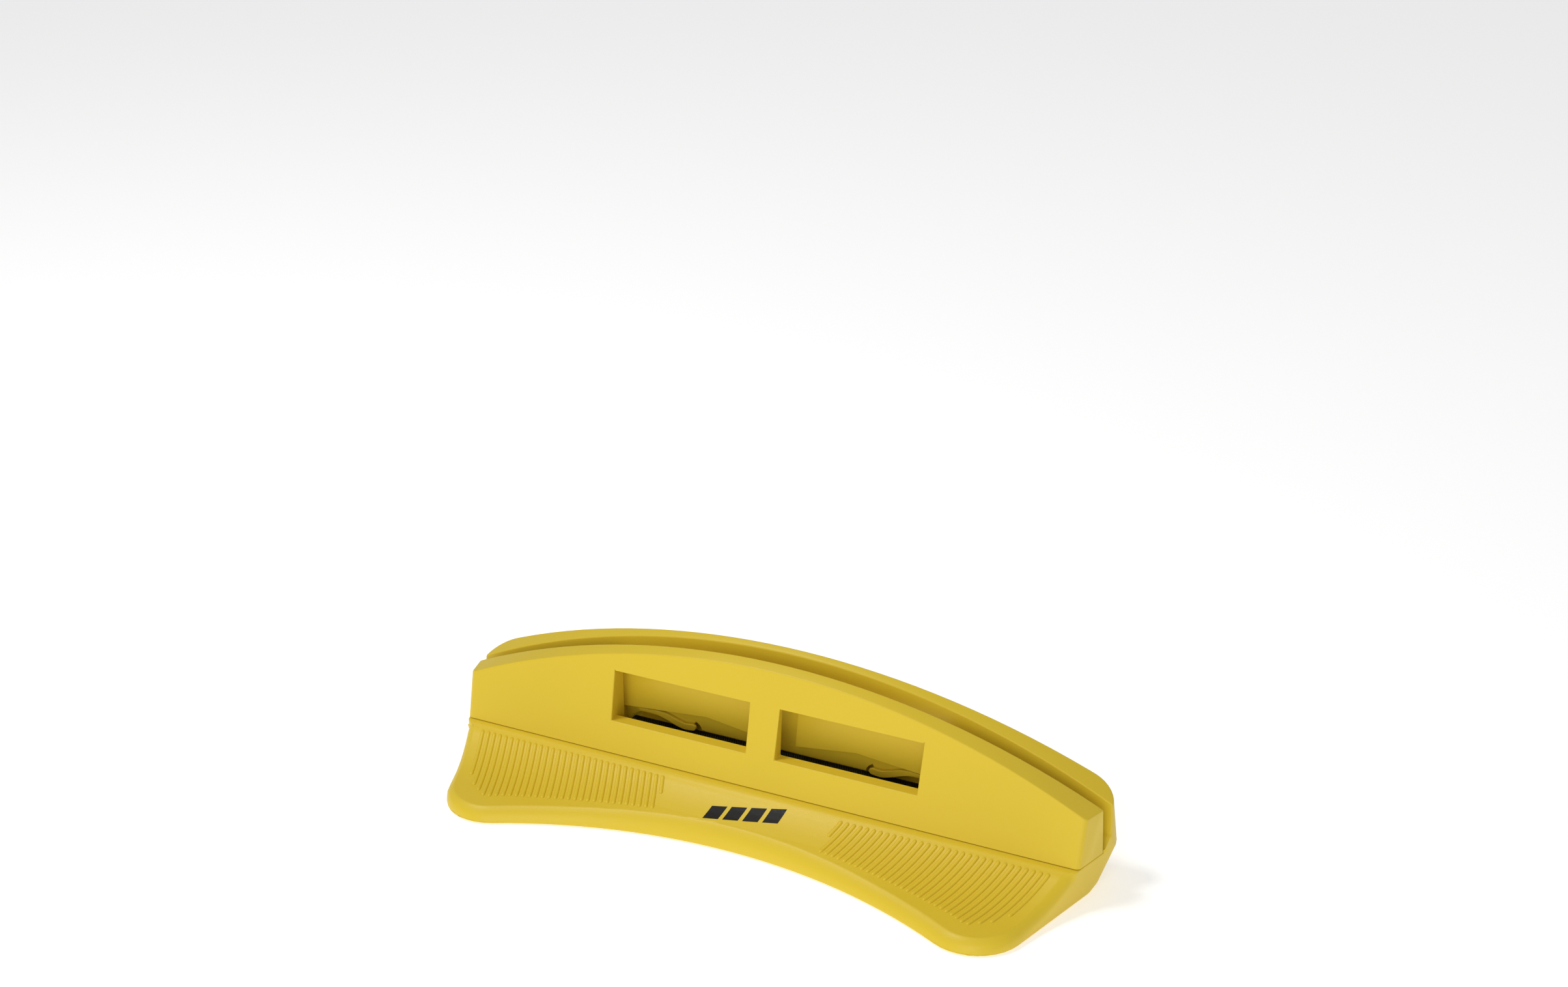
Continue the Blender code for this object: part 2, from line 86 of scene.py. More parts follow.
# Where the ribs begin, and the line that their front ends follow: an arc that turns into a corner.
# The first rib is shorter. The slant is sideways travel per length; a rib's end keeps a small section.
RIB_TOP_Y = -3.9
RIB_FRONT_Y = -14.75
RIB_FRONT_RADIUS = 238.0
RIB_CORNER_X = 92.0
RIB_CORNER_Y = -19.9
RIB_CORNER_RADIUS = 12.6
FIRST_RIB_FRONT_Y = -10.2
RIB_SLANT_INNER = 0.39
RIB_SLANT_OUTER = 0.35
RIB_STEPS = 26
RIB_END_SECTION = 0.12

# Boxes that hold the edges which stay sharp. In the base: the recess, the slot's floor with the seat
# of the file, the pockets below, the seam and the foot's bottom edge. In the cover: the seam, the
# cavity behind its wall and the pockets at both ends.
BASE_INNER_BOXES = (
    ((-64.5, 13.0, -0.5), (64.5, 27.5, 30.8)),
    ((-130.0, 6.5, -1.0), (130.0, 19.5, 5.6)),
    ((-98.0, -13.0, -15.0), (98.0, 17.5, -2.5)),
    ((-130.0, -0.2, -0.2), (130.0, 0.2, 0.2)),
    ((-130.0, -50.0, -15.0), (130.0, 35.0, -12.0)),
)
COVER_INNER_BOXES = (
    ((-130.0, -1.0, 0.0), (130.0, 20.0, 0.6)),
    ((-62.5, 6.5, 0.0), (62.5, 18.0, 31.5)),
    ((-112.0, 4.0, 0.0), (-63.0, 13.0, 20.0)),
    ((63.0, 4.0, 0.0), (112.0, 13.0, 20.0)),
)

# Copies of the solid's meshes: merging distance, and the angles that count as flat and as smooth.
MERGE_DISTANCE = 0.004 * MM
FLAT_ANGLE = math.radians(0.3)
SMOOTH_ANGLE = math.radians(44)

# Rounding of the pieces that aren't moulded.
FILE_EDGE_RADIUS = 0.1 * MM
SCREW_EDGE_RADIUS = 0.08 * MM
FOOT_EDGE_RADIUS = 0.1 * MM

# Depth of the surface grain in the materials.
GRAIN_DEPTH = 0.08 * MM
FAINT_DEPTH = 0.03 * MM

# A height well above the ramp, from which points are dropped on to its surface.
CLEAR_HEIGHT = 0.05

# Printed mark: bars in a row, turned a little, all from the seam point.
MARK_CENTRE = Vector((0.6, -9.9, 0.0)) * MM
MARK_TURN = math.radians(11)
MARK_LENGTH = 27.0 * MM
MARK_DEPTH = 5.2 * MM
MARK_GAP = 1.6 * MM
MARK_LEAN = 2.0 * MM
INK_SUNK = 0.03 * MM
INK_THICKNESS = 0.08 * MM

# File teeth: margins to the bar's long sides and to its ends.
TOOTH_SIDE_MARGIN = 0.5 * MM
TOOTH_END_MARGIN = 1.0 * MM

# Studio: (name, place, size, power) of each soft light, all aimed at the tool.
SOFT_LIGHTS = (
    ("overhead_softbox", (-0.45, -0.2, 1.1), 0.3, 4.6),
    ("front_softbox", (0.25, -1.25, 0.5), 0.9, 5.1),
)
LIGHT_TARGET = Vector((0.0, 0.0, 0.02))
ROOM_STRENGTH = 0.38
FLOOR_SIZE = 12.0
FLOOR_DROP = 0.2 * MM
FLOOR_COLOUR = (0.93, 0.93, 0.93, 1.0)
FLOOR_ROUGHNESS = 0.9
FLOOR_GLOW = 0.42
WHITE = (1.0, 1.0, 1.0, 1.0)

# Camera: place and target from the seam point, and the lens over a full-frame sensor.
CAMERA_PLACE = Vector((322.3, -636.66, 422.06)) * MM
CAMERA_TARGET = Vector((2.29, 17.62, 106.12)) * MM
CAMERA_LENS = 54.2
CAMERA_SENSOR = 36.0
CAMERA_NEAR = 0.01


class SharpenerPlastic(bpy.types.PropertyGroup):
    """Colour and finish of the moulded pieces."""

    colour: FloatVectorProperty(
        name="Colour",
        description="Yellow of the moulded plastic",
        subtype="COLOR",
        size=3,
        min=0.0,
        max=1.0,
        default=(0.755, 0.545, 0.03),
    )
    roughness: FloatProperty(
        name="Roughness",
        description="How matt the plastic is",
        subtype="FACTOR",
        min=0.0,
        max=1.0,
        default=0.42,
    )
    edge_radius: FloatProperty(
        name="Edge radius",
        description="Rounding of the moulded pieces' outer edges",
        unit="LENGTH",
        subtype="DISTANCE",
        default=0.45 * MM,
    )
    small_edge_radius: FloatProperty(
        name="Small edge radius",
        description="Rounding of the edges of thin pieces",
        unit="LENGTH",
        subtype="DISTANCE",
        default=0.22 * MM,
    )


class SharpenerRibs(bpy.types.PropertyGroup):
    """Grip ribs on the ramp."""

    count: IntProperty(name="Count", description="Ribs in each of the two groups", default=31, min=1)
    pitch: FloatProperty(
        name="Pitch", description="Distance from rib to rib", unit="LENGTH", default=2.5 * MM
    )
    first_x: FloatProperty(
        name="First rib",
        description="Distance of the innermost rib from the middle",
        unit="LENGTH",
        default=34.8 * MM,
    )
    width: FloatProperty(name="Width", description="Width of a rib", unit="LENGTH", default=1.5 * MM)
    height: FloatProperty(
        name="Height", description="Height of a rib over the ramp", unit="LENGTH", default=0.55 * MM
    )


class SharpenerFile(bpy.types.PropertyGroup):
    """Teeth of the file."""

    pitch: FloatProperty(
        name="Tooth pitch", description="Distance from tooth to tooth", unit="LENGTH", default=0.9 * MM
    )
    height: FloatProperty(
        name="Tooth height", description="Height of a tooth", unit="LENGTH", default=0.12 * MM
    )
    slant: FloatProperty(
        name="Tooth slant",
        description="Angle of the teeth from straight across the file",
        subtype="ANGLE",
        default=math.radians(25),
    )
    colour: FloatVectorProperty(
        name="Colour",
        description="Colour of the blackened steel",
        subtype="COLOR",
        size=3,
        min=0.0,
        max=1.0,
        default=(0.018, 0.019, 0.017),
    )


# --- Materials -------------------------------------------------------------------------------------


def add_node(tree, kind, *values, named=None, **settings):
    """A new node. Each value goes to the input in its place: a socket is linked, None is left out."""
    made = tree.nodes.new(kind)
    for key, value in settings.items():
        setattr(made, key, value)
    pairs = list(zip(made.inputs, values))
    pairs += [(made.inputs[key], value) for key, value in (named or {}).items()]
    for socket, value in pairs:
        if isinstance(value, bpy.types.NodeSocket):
            tree.links.new(value, socket)
        elif value is not None:
            socket.default_value = value
    return made


def new_material(name):
    """A material with its Principled shader, its tree and its Object coordinates."""
    material = bpy.data.materials.new(name)
    material.use_nodes = True
    tree = material.node_tree
    shader = tree.nodes["Principled BSDF"]
    coordinates = add_node(tree, "ShaderNodeTexCoord").outputs["Object"]
    return material, tree, shader, coordinates


def noise(tree, coordinates, scale, detail=2.0, stretch=None):
    if stretch:
        coordinates = add_node(
            tree, "ShaderNodeMapping", coordinates, named={"Scale": stretch}
        ).outputs[0]
    return add_node(
        tree, "ShaderNodeTexNoise", named={"Vector": coordinates, "Scale": scale, "Detail": detail}
    ).outputs["Fac"]


def spread(tree, value, low, high):
    """The noise value, mostly 0.3 to 0.7, carried over to the range from low to high."""
    return add_node(
        tree,
        "ShaderNodeMapRange",
        named={"Value": value, "From Min": 0.3, "From Max": 0.7, "To Min": low, "To Max": high},
    ).outputs["Result"]


def tint(tree, colour, value, low, high):
    """The colour, made darker or lighter by the noise value."""
    return add_node(
        tree,
        "ShaderNodeHueSaturation",
        named={"Value": spread(tree, value, low, high), "Color": (*colour, 1.0)},
    ).outputs[0]


def bump(tree, shader, height, strength, distance):
    made = add_node(
        tree, "ShaderNodeBump", named={"Height": height, "Strength": strength, "Distance": distance}
    )
    tree.links.new(made.outputs[0], shader.inputs["Normal"])


def moulded_plastic():
    """Yellow plastic from a finely eroded mould: satin, with faint flow marks."""
    if "Yellow moulded plastic" in bpy.data.materials:
        return bpy.data.materials["Yellow moulded plastic"]
    looks = bpy.context.scene.sharpener_plastic
    material, tree, shader, place = new_material("Yellow moulded plastic")
    grain = noise(tree, place, 2600.0, 3.0)
    flow = noise(tree, place, 18.0, 3.0, stretch=(0.4, 1.0, 1.0))
    tree.links.new(tint(tree, looks.colour, flow, 0.975, 1.02), shader.inputs["Base Color"])
    rough = looks.roughness
    tree.links.new(spread(tree, grain, rough - 0.05, rough + 0.06), shader.inputs["Roughness"])
    shader.inputs["Specular IOR Level"].default_value = 0.34
    bump(tree, shader, grain, 0.34, GRAIN_DEPTH)
    return material


def blackened_steel():
    """Dark file steel with a faint oily sheen and lengthwise grinding."""
    looks = bpy.context.scene.sharpener_file
    material, tree, shader, place = new_material("Blackened file steel")
    grinding = noise(tree, place, 700.0, 2.0, stretch=(0.06, 1.0, 1.0))
    patches = noise(tree, place, 90.0, 3.0)
    tree.links.new(tint(tree, looks.colour, patches, 0.8, 1.3), shader.inputs["Base Color"])
    tree.links.new(spread(tree, patches, 0.42, 0.6), shader.inputs["Roughness"])
    shader.inputs["Metallic"].default_value = 0.35
    bump(tree, shader, grinding, 0.25, FAINT_DEPTH)
    return material


def zinc_plate():
    """Bright zinc plating with a slight mottle."""
    material, tree, shader, place = new_material("Zinc plated steel")
    mottle = noise(tree, place, 900.0, 3.0)
    tree.links.new(tint(tree, (0.62, 0.62, 0.60), mottle, 0.9, 1.08), shader.inputs["Base Color"])
    tree.links.new(spread(tree, mottle, 0.22, 0.38), shader.inputs["Roughness"])
    shader.inputs["Metallic"].default_value = 1.0
    bump(tree, shader, mottle, 0.1, FAINT_DEPTH)
    return material


def black_rubber():
    """Matt rubber with a fine grain."""
    material, tree, shader, place = new_material("Black rubber")
    grain = noise(tree, place, 1800.0, 3.0)
    tree.links.new(tint(tree, (0.022, 0.022, 0.022), grain, 0.8, 1.25), shader.inputs["Base Color"])
    shader.inputs["Roughness"].default_value = 0.78
    bump(tree, shader, grain, 0.3, GRAIN_DEPTH)
    return material


def printed_ink():
    """Black pad-printed ink, a little uneven."""
    material, tree, shader, place = new_material("Black printed ink")
    unevenness = noise(tree, place, 1500.0, 3.0)
    black = tint(tree, (0.012, 0.012, 0.012), unevenness, 0.8, 1.3)
    tree.links.new(black, shader.inputs["Base Color"])
    tree.links.new(spread(tree, unevenness, 0.36, 0.5), shader.inputs["Roughness"])
    shader.inputs["Specular IOR Level"].default_value = 0.15
    bump(tree, shader, unevenness, 0.1, FAINT_DEPTH)
    return material


# --- Meshes ----------------------------------------------------------------------------------------


def new_piece(name, mesh, material):
    mesh.materials.clear()
    mesh.materials.append(material)
    piece = bpy.data.objects.new(name, mesh)
    bpy.context.scene.collection.objects.link(piece)
    return piece


def evaluated_mesh(obj, name):
    """The object's mesh with its modifiers applied, under a new name."""
    graph = bpy.context.evaluated_depsgraph_get()
    mesh = bpy.data.meshes.new_from_object(obj.evaluated_get(graph))
    mesh.name = name
    return mesh


def all_in(edge, low, high):
    """Whether the edge lies in a box given in millimetres from the seam point."""
    for vertex in edge.verts:
        place = (vertex.co - SEAM_POINT) / MM
        if not all(a <= value <= b for a, value, b in zip(low, place, high)):
            return False
    return True


def softened_copy(node, name, material, radius, sharper_than=30.0, segments=2, keeps_sharp=None):
    """A copy of a CAD node with its doubles merged, its flat faces joined and its edges rounded."""
    mesh = bpy.data.meshes.new(name)
    bm = bmesh.new()
    bm.from_mesh(frame["nodes"][node].data)
    bmesh.ops.remove_doubles(bm, verts=bm.verts, dist=MERGE_DISTANCE)
    bmesh.ops.dissolve_limit(bm, angle_limit=FLAT_ANGLE, verts=bm.verts, edges=bm.edges)
    sharp = [
        edge
        for edge in bm.edges
        if edge.is_manifold
        and edge.calc_face_angle(0.0) > math.radians(sharper_than)
        and not (keeps_sharp and keeps_sharp(edge))
    ]
    bmesh.ops.bevel(
        bm,
        geom=sharp,
        offset=radius,
        offset_type="OFFSET",
        segments=segments,
        profile=0.5,
        affect="EDGES",
        clamp_overlap=False,
    )
    bm.to_mesh(mesh)
    bm.free()
    piece = new_piece(name, mesh, material)
    mesh.shade_smooth()
    mesh.set_sharp_from_angle(angle=SMOOTH_ANGLE)
    weighted = piece.modifiers.new("even shading", "WEIGHTED_NORMAL")
    weighted.keep_sharp = True
    weighted.weight = 100
    finished = evaluated_mesh(piece, name)
    piece.modifiers.clear()
    piece.data = finished
    return piece


def surface_of(piece):
    bm = bmesh.new()
    bm.from_mesh(piece.data)
    tree = BVHTree.FromBMesh(bm)
    bm.free()
    return tree


# --- Geometry Nodes --------------------------------------------------------------------------------


def new_node_group(name, inputs):
    """A node group with one geometry output and these inputs: (name, socket type, default)."""
    group = bpy.data.node_groups.new(name, "GeometryNodeTree")
    for label, kind, default in inputs:
        socket = group.interface.new_socket(label, in_out="INPUT", socket_type=kind)
        if default is not None:
            socket.default_value = default
    group.interface.new_socket("Geometry", in_out="OUTPUT", socket_type="NodeSocketGeometry")
    return group, add_node(group, "NodeGroupInput").outputs


def math_node(tree, operation, *values):
    return add_node(tree, "ShaderNodeMath", *values, operation=operation).outputs[0]


def mix_node(tree, share, low, high):
    return add_node(
        tree, "ShaderNodeMapRange", named={"Value": share, "To Min": low, "To Max": high}
    ).outputs["Result"]


def vector_node(tree, x, y, z):
    return add_node(tree, "ShaderNodeCombineXYZ", x, y, z).outputs[0]


def end_group(tree, geometry, material):
    """Realize Instances and Set Material close each tree."""
    real = add_node(tree, "GeometryNodeRealizeInstances", geometry).outputs[0]
    painted = add_node(tree, "GeometryNodeSetMaterial", real, named={"Material": material}).outputs[0]
    add_node(tree, "NodeGroupOutput", painted)


def rib_group(ribs, material):
    """Half-round ribs that lie on the ramp, side by side and slanting inwards."""
    tree, given = new_node_group(
        "Grip ribs",
        [
            ("Ramp", "NodeSocketObject", None),
            ("Side", "NodeSocketFloat", 1.0),
            ("Count", "NodeSocketInt", ribs.count),
            ("Pitch", "NodeSocketFloat", ribs.pitch),
            ("First X", "NodeSocketFloat", ribs.first_x),
            ("Width", "NodeSocketFloat", ribs.width),
            ("Height", "NodeSocketFloat", ribs.height),
            ("Front Arc Radius", "NodeSocketFloat", RIB_FRONT_RADIUS * MM),
        ],
    )
    line = add_node(
        tree, "GeometryNodeCurvePrimitiveLine", named={"Start": (0, 0, 0), "End": (0, 1, 0)}
    ).outputs[0]
    line = add_node(tree, "GeometryNodeResampleCurve", line, named={"Count": RIB_STEPS}).outputs[0]
    points = add_node(tree, "GeometryNodePoints", given["Count"]).outputs[0]
    lines = add_node(tree, "GeometryNodeInstanceOnPoints", points, named={"Instance": line}).outputs[0]
    lines = add_node(tree, "GeometryNodeRealizeInstances", lines).outputs[0]

    index = add_node(tree, "GeometryNodeCurveOfPoint").outputs["Curve Index"]
    along = add_node(tree, "GeometryNodeSplineParameter").outputs["Factor"]
    start_x = math_node(tree, "MULTIPLY_ADD", index, given["Pitch"], given["First X"])
    last = math_node(tree, "SUBTRACT", given["Count"], 1.0)
    slant = mix_node(
        tree, math_node(tree, "DIVIDE", index, last), RIB_SLANT_INNER, RIB_SLANT_OUTER
    )

    # The front end is where the slanting rib meets the front line; two rounds settle on it.
    end_x, end_y = start_x, None
    for _ in range(2):
        square = math_node(tree, "MULTIPLY", end_x, end_x)
        sag = math_node(
            tree, "DIVIDE", square, math_node(tree, "MULTIPLY", given["Front Arc Radius"], 2.0)
        )
        on_arc = math_node(tree, "SUBTRACT", RIB_FRONT_Y * MM, sag)
        past = math_node(
            tree, "MAXIMUM", math_node(tree, "SUBTRACT", end_x, RIB_CORNER_X * MM), 0.0
        )
        root = math_node(
            tree,
            "SUBTRACT",
            (RIB_CORNER_RADIUS * MM) ** 2,
            math_node(tree, "MULTIPLY", past, past),
        )
        root = math_node(tree, "SQRT", math_node(tree, "MAXIMUM", root, 0.0))
        on_corner = math_node(tree, "SUBTRACT", RIB_CORNER_Y * MM, root)
        end_y = math_node(tree, "MAXIMUM", on_arc, on_corner)
        reach = math_node(tree, "SUBTRACT", RIB_TOP_Y * MM, end_y)
        end_x = math_node(tree, "SUBTRACT", start_x, math_node(tree, "MULTIPLY", slant, reach))
    is_first = math_node(tree, "LESS_THAN", index, 0.5)
    end_y = mix_node(tree, is_first, end_y, FIRST_RIB_FRONT_Y * MM)
    reach = math_node(tree, "SUBTRACT", RIB_TOP_Y * MM, end_y)
    end_x = math_node(tree, "SUBTRACT", start_x, math_node(tree, "MULTIPLY", slant, reach))

    # Points lie closer together towards both ends, so that the rounded ends are smooth.
    eased = math_node(tree, "COSINE", math_node(tree, "MULTIPLY", along, math.pi))
    eased = math_node(tree, "MULTIPLY_ADD", eased, -0.5, 0.5)
    x = math_node(tree, "MULTIPLY", mix_node(tree, eased, start_x, end_x), given["Side"])
    y = mix_node(tree, eased, RIB_TOP_Y * MM, end_y)
    x = math_node(tree, "ADD", x, SEAM_POINT.x)
    y = math_node(tree, "ADD", y, SEAM_POINT.y)
    ramp = add_node(
        tree, "GeometryNodeObjectInfo", given["Ramp"], transform_space="RELATIVE"
    ).outputs["Geometry"]
    above = vector_node(tree, x, y, CLEAR_HEIGHT)
    hit = add_node(
        tree,
        "GeometryNodeRaycast",
        named={
            "Target Geometry": ramp,
            "Source Position": above,
            "Ray Direction": (0, 0, -1),
            "Ray Length": 2 * CLEAR_HEIGHT,
        },
    )
    lines = add_node(
        tree, "GeometryNodeSetPosition", lines, named={"Position": hit.outputs["Hit Position"]}
    ).outputs[0]
    lines = add_node(tree, "GeometryNodeSetCurveNormal", lines, mode="Z_UP").outputs[0]

    # A rib's ends are rounded: its section shrinks over the last bit of its length.
    to_end = math_node(tree, "MINIMUM", along, math_node(tree, "SUBTRACT", 1.0, along))
    length = add_node(tree, "GeometryNodeSplineLength").outputs["Length"]
    to_end = math_node(tree, "MULTIPLY", to_end, length)
    share = math_node(tree, "DIVIDE", to_end, math_node(tree, "MULTIPLY", given["Width"], 0.5))
    share = math_node(tree, "MINIMUM", share, 1.0)
    rest = math_node(tree, "SUBTRACT", 1.0, share)
    size = math_node(
        tree, "SQRT", math_node(tree, "SUBTRACT", 1.0, math_node(tree, "MULTIPLY", rest, rest))
    )
    size = math_node(tree, "MAXIMUM", size, RIB_END_SECTION)
    circle = add_node(
        tree, "GeometryNodeCurvePrimitiveCircle", named={"Resolution": 12, "Radius": 1.0}
    ).outputs["Curve"]
    half_width = math_node(tree, "MULTIPLY", given["Width"], 0.5)
    section = add_node(
        tree,
        "GeometryNodeTransform",
        circle,
        named={"Scale": vector_node(tree, half_width, given["Height"], 1.0)},
    ).outputs[0]
    swept = add_node(
        tree,
        "GeometryNodeCurveToMesh",
        lines,
        section,
        named={"Scale": size, "Fill Caps": True},
    ).outputs[0]
    swept = add_node(
        tree, "GeometryNodeSetShadeSmooth", swept, named={"Shade Smooth": True}
    ).outputs[0]
    end_group(tree, swept, material)
    return tree


def tooth_group(looks, size, material):
    """Low three-sided ridges side by side across a flat bar."""
    tree, given = new_node_group(
        "File teeth",
        [
            ("Length", "NodeSocketFloat", size.x),
            ("Tooth Length", "NodeSocketFloat", size.y),
            ("Pitch", "NodeSocketFloat", looks.pitch),
            ("Height", "NodeSocketFloat", looks.height),
            ("Slant", "NodeSocketFloat", looks.slant),
        ],
    )
    count = math_node(tree, "FLOOR", math_node(tree, "DIVIDE", given["Length"], given["Pitch"]))
    start = math_node(tree, "MULTIPLY", given["Length"], -0.5)
    row = add_node(
        tree,
        "GeometryNodeMeshLine",
        count,
        named={
            "Start Location": vector_node(tree, start, 0.0, 0.0),
            "Offset": vector_node(tree, given["Pitch"], 0.0, 0.0),
        },
    ).outputs[0]
    half = math_node(tree, "MULTIPLY", given["Tooth Length"], 0.5)
    spine = add_node(
        tree,
        "GeometryNodeCurvePrimitiveLine",
        named={
            "Start": vector_node(tree, 0.0, math_node(tree, "MULTIPLY", half, -1.0), 0.0),
            "End": vector_node(tree, 0.0, half, 0.0),
        },
    ).outputs[0]
    triangle = add_node(
        tree, "GeometryNodeCurvePrimitiveCircle", named={"Resolution": 3, "Radius": 1.0}
    ).outputs["Curve"]
    section = add_node(
        tree,
        "GeometryNodeTransform",
        triangle,
        named={
            "Scale": vector_node(
                tree, math_node(tree, "MULTIPLY", given["Pitch"], 0.5), given["Height"], 1.0
            )
        },
    ).outputs[0]
    tooth = add_node(
        tree, "GeometryNodeCurveToMesh", spine, section, named={"Fill Caps": True}
    ).outputs[0]
    turn = add_node(
        tree, "FunctionNodeEulerToRotation", vector_node(tree, 0.0, 0.0, given["Slant"])
    ).outputs[0]
    teeth = add_node(
        tree,
        "GeometryNodeInstanceOnPoints",
        row,
        named={"Instance": tooth, "Rotation": turn},
    ).outputs[0]
    end_group(tree, teeth, material)
    return tree


def grown(name, group, values, material):
    """The plain mesh that a node group makes from these input values."""
    host = bpy.data.objects.new(name + "_host", bpy.data.meshes.new(name + "_host"))
    bpy.context.scene.collection.objects.link(host)
    modifier = host.modifiers.new("grow", "NODES")
    modifier.node_group = group
    for item in group.interface.items_tree:
        if item.item_type == "SOCKET" and item.in_out == "INPUT" and item.name in values:
            modifier[item.identifier] = values[item.name]
    bpy.context.view_layer.update()
    mesh = evaluated_mesh(host, name)
    bpy.data.objects.remove(host)
    if not mesh.polygons:
        raise RuntimeError(f"{name} came out empty")
    bm = bmesh.new()
    bm.from_mesh(mesh)
    bmesh.ops.recalc_face_normals(bm, faces=bm.faces)
    bm.to_mesh(mesh)
    bm.free()
    return new_piece(name, mesh, material)


# --- Operators -------------------------------------------------------------------------------------


class SHARPENER_OT_base(bpy.types.Operator):
    """Makes the moulded base: the foot with its ramp, and the tall wall behind the slot"""

    bl_idname = "sharpener.base"
    bl_label = "Base"

    def execute(self, context):
        looks = context.scene.sharpener_plastic

        def is_inner(edge):
            return any(all_in(edge, *box) for box in BASE_INNER_BOXES)

        piece = softened_copy(
            "base_body",
            "moulded_base",
            moulded_plastic(),
            looks.edge_radius,
            keeps_sharp=is_inner,
        )
        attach(piece, "base")
        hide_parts("base_body")
        return {"FINISHED"}


class SHARPENER_OT_cover(bpy.types.Operator):
    """Makes the front cover with its two windows"""

    bl_idname = "sharpener.cover"
    bl_label = "Front cover"

    def execute(self, context):
        looks = context.scene.sharpener_plastic

        def is_inner(edge):
            return any(all_in(edge, *box) for box in COVER_INNER_BOXES)

        piece = softened_copy(
            "front_cover",
            "moulded_cover",
            moulded_plastic(),
            looks.edge_radius,
            keeps_sharp=is_inner,
        )
        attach(piece, "base")
        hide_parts("front_cover")
        return {"FINISHED"}


class SHARPENER_OT_ribs(bpy.types.Operator):
    """Makes the two groups of half-round grip ribs on the ramp"""

    bl_idname = "sharpener.ribs"
    bl_label = "Grip ribs"

    def execute(self, context):
        looks = context.scene.sharpener_ribs
        material = moulded_plastic()
        group = rib_group(looks, material)
        for side, name in ((-1.0, "grip_ribs_left"), (1.0, "grip_ribs_right")):
            values = {
                "Ramp": bpy.data.objects["moulded_base"],
                "Side": side,
                "Count": looks.count,
                "Pitch": looks.pitch,
                "First X": looks.first_x,
                "Width": looks.width,
                "Height": looks.height,
                "Front Arc Radius": RIB_FRONT_RADIUS * MM,
            }
            piece = grown(name, group, values, material)
            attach(piece, "base")
        return {"FINISHED"}


class SHARPENER_OT_file(bpy.types.Operator):
    """Makes the flat file with its slanting teeth"""

    bl_idname = "sharpener.file"
    bl_label = "File"

    def execute(self, context):
        looks = context.scene.sharpener_file
        steel = blackened_steel()
        bar = softened_copy(
            "sharpening_file", "file_bar", steel, FILE_EDGE_RADIUS, sharper_than=60.0, segments=1
        )
        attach(bar, "base")
        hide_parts("sharpening_file")
        low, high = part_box("sharpening_file")
        size = high - low
        across = (size.y - 2 * TOOTH_SIDE_MARGIN) / math.cos(looks.slant)
        run = size.x - 2 * TOOTH_END_MARGIN - across * math.sin(looks.slant)
        group = tooth_group(looks, Vector((run, across, 0.0)), steel)
        values = {
            "Length": run,
            "Tooth Length": across,
            "Pitch": looks.pitch,
            "Height": looks.height,
            "Slant": looks.slant,
        }
        teeth = grown("file_teeth", group, values, steel)
        middle = (low + high) / 2
        teeth.data.transform(Matrix.Translation((middle.x, middle.y, high.z)))
        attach(teeth, "base")
        return {"FINISHED"}


class SHARPENER_OT_fingers(bpy.types.Operator):
    """Makes the two spring fingers that press on the file"""

    bl_idname = "sharpener.fingers"
    bl_label = "File fingers"

    def execute(self, context):
        looks = context.scene.sharpener_plastic
        for side in ("left", "right"):
            piece = softened_copy(
                f"file_finger_{side}",
                f"spring_finger_{side}",
                moulded_plastic(),
                looks.small_edge_radius,
                sharper_than=50.0,
            )
            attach(piece, f"finger_{side}")
            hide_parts(f"file_finger_{side}")
        return {"FINISHED"}


class SHARPENER_OT_screws(bpy.types.Operator):
    """Gives the four cover screws their zinc plating"""

    bl_idname = "sharpener.screws"
    bl_label = "Cover screws"

    def execute(self, context):
        zinc = zinc_plate()
        for index in range(1, 5):
            node = f"cover_screw_{index}"
            piece = softened_copy(
                node,
                f"zinc_screw_{index}",
                zinc,
                SCREW_EDGE_RADIUS,
                sharper_than=50.0,
                segments=1,
            )
            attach(piece, "base")
            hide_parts(node)
        return {"FINISHED"}


class SHARPENER_OT_feet(bpy.types.Operator):
    """Makes the four rubber feet"""

    bl_idname = "sharpener.feet"
    bl_label = "Rubber feet"

    def execute(self, context):
        rubber = black_rubber()
        for index in range(1, 5):
            node = f"rubber_foot_{index}"
            piece = softened_copy(
                node, f"foot_pad_{index}", rubber, FOOT_EDGE_RADIUS, sharper_than=40.0
            )
            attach(piece, "base")
            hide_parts(node)
        return {"FINISHED"}


